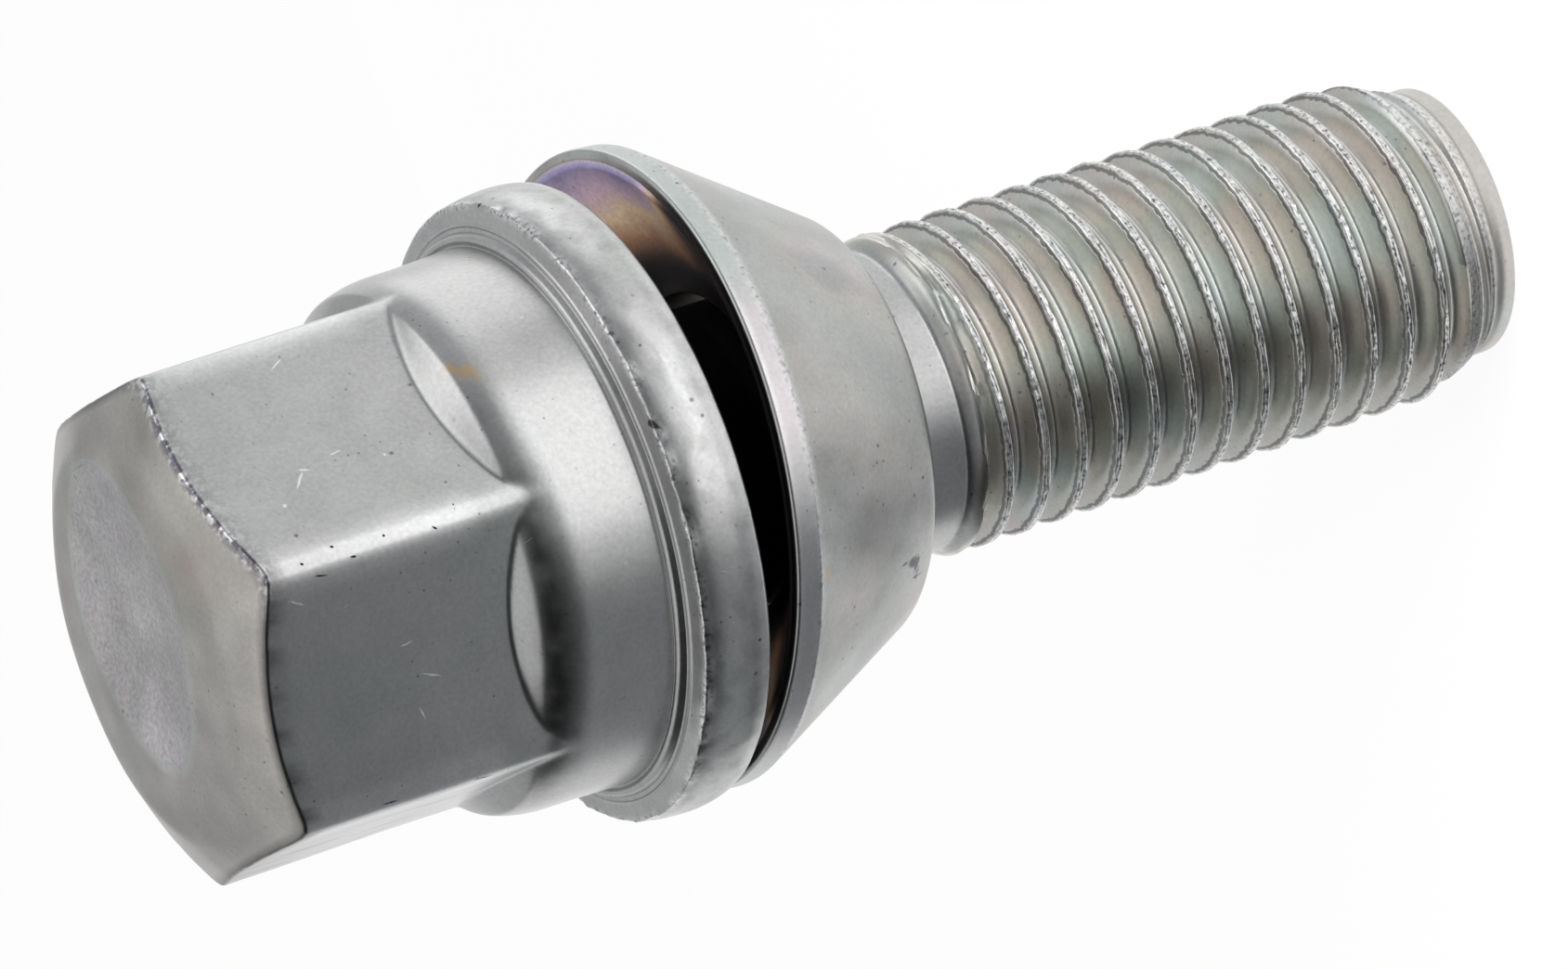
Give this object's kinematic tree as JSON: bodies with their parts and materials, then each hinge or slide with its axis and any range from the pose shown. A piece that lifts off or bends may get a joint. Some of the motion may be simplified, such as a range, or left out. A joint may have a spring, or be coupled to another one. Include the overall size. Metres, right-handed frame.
{
  "type": "wheel bolt",
  "caption": "Zinc-plated wheel bolt with a flanged hex head, a rolled thread and a loose conical seat washer trapped on its smooth neck, for clamping a car wheel to its hub.",
  "frame": {"origin": "middle of the flat free end of the thread, on which the bolt stands", "axes": "+Z along the bolt's axis from the thread to the head; two hex corners lie on +X and -X, two flats face +Y and -Y"},
  "size_m": [0.0234, 0.023, 0.0532],
  "materials": {
    "bolt_zinc": "clear zinc plating on forged steel, satin with rolled thread flanks",
    "washer_zinc": "clear zinc plating on turned steel, faint rainbow tint"
  },
  "bodies": {
    "bolt": {"bolt": "bolt_zinc"},
    "washer": {"conical_washer": "washer_zinc"}
  },
  "joints": [
    {"name": "washer_spin", "type": "hinge", "parent": "bolt", "child": "washer", "pos_m": [0, 0, 0.0285], "axis": [0, 0, 1], "continuous": true}
  ]
}
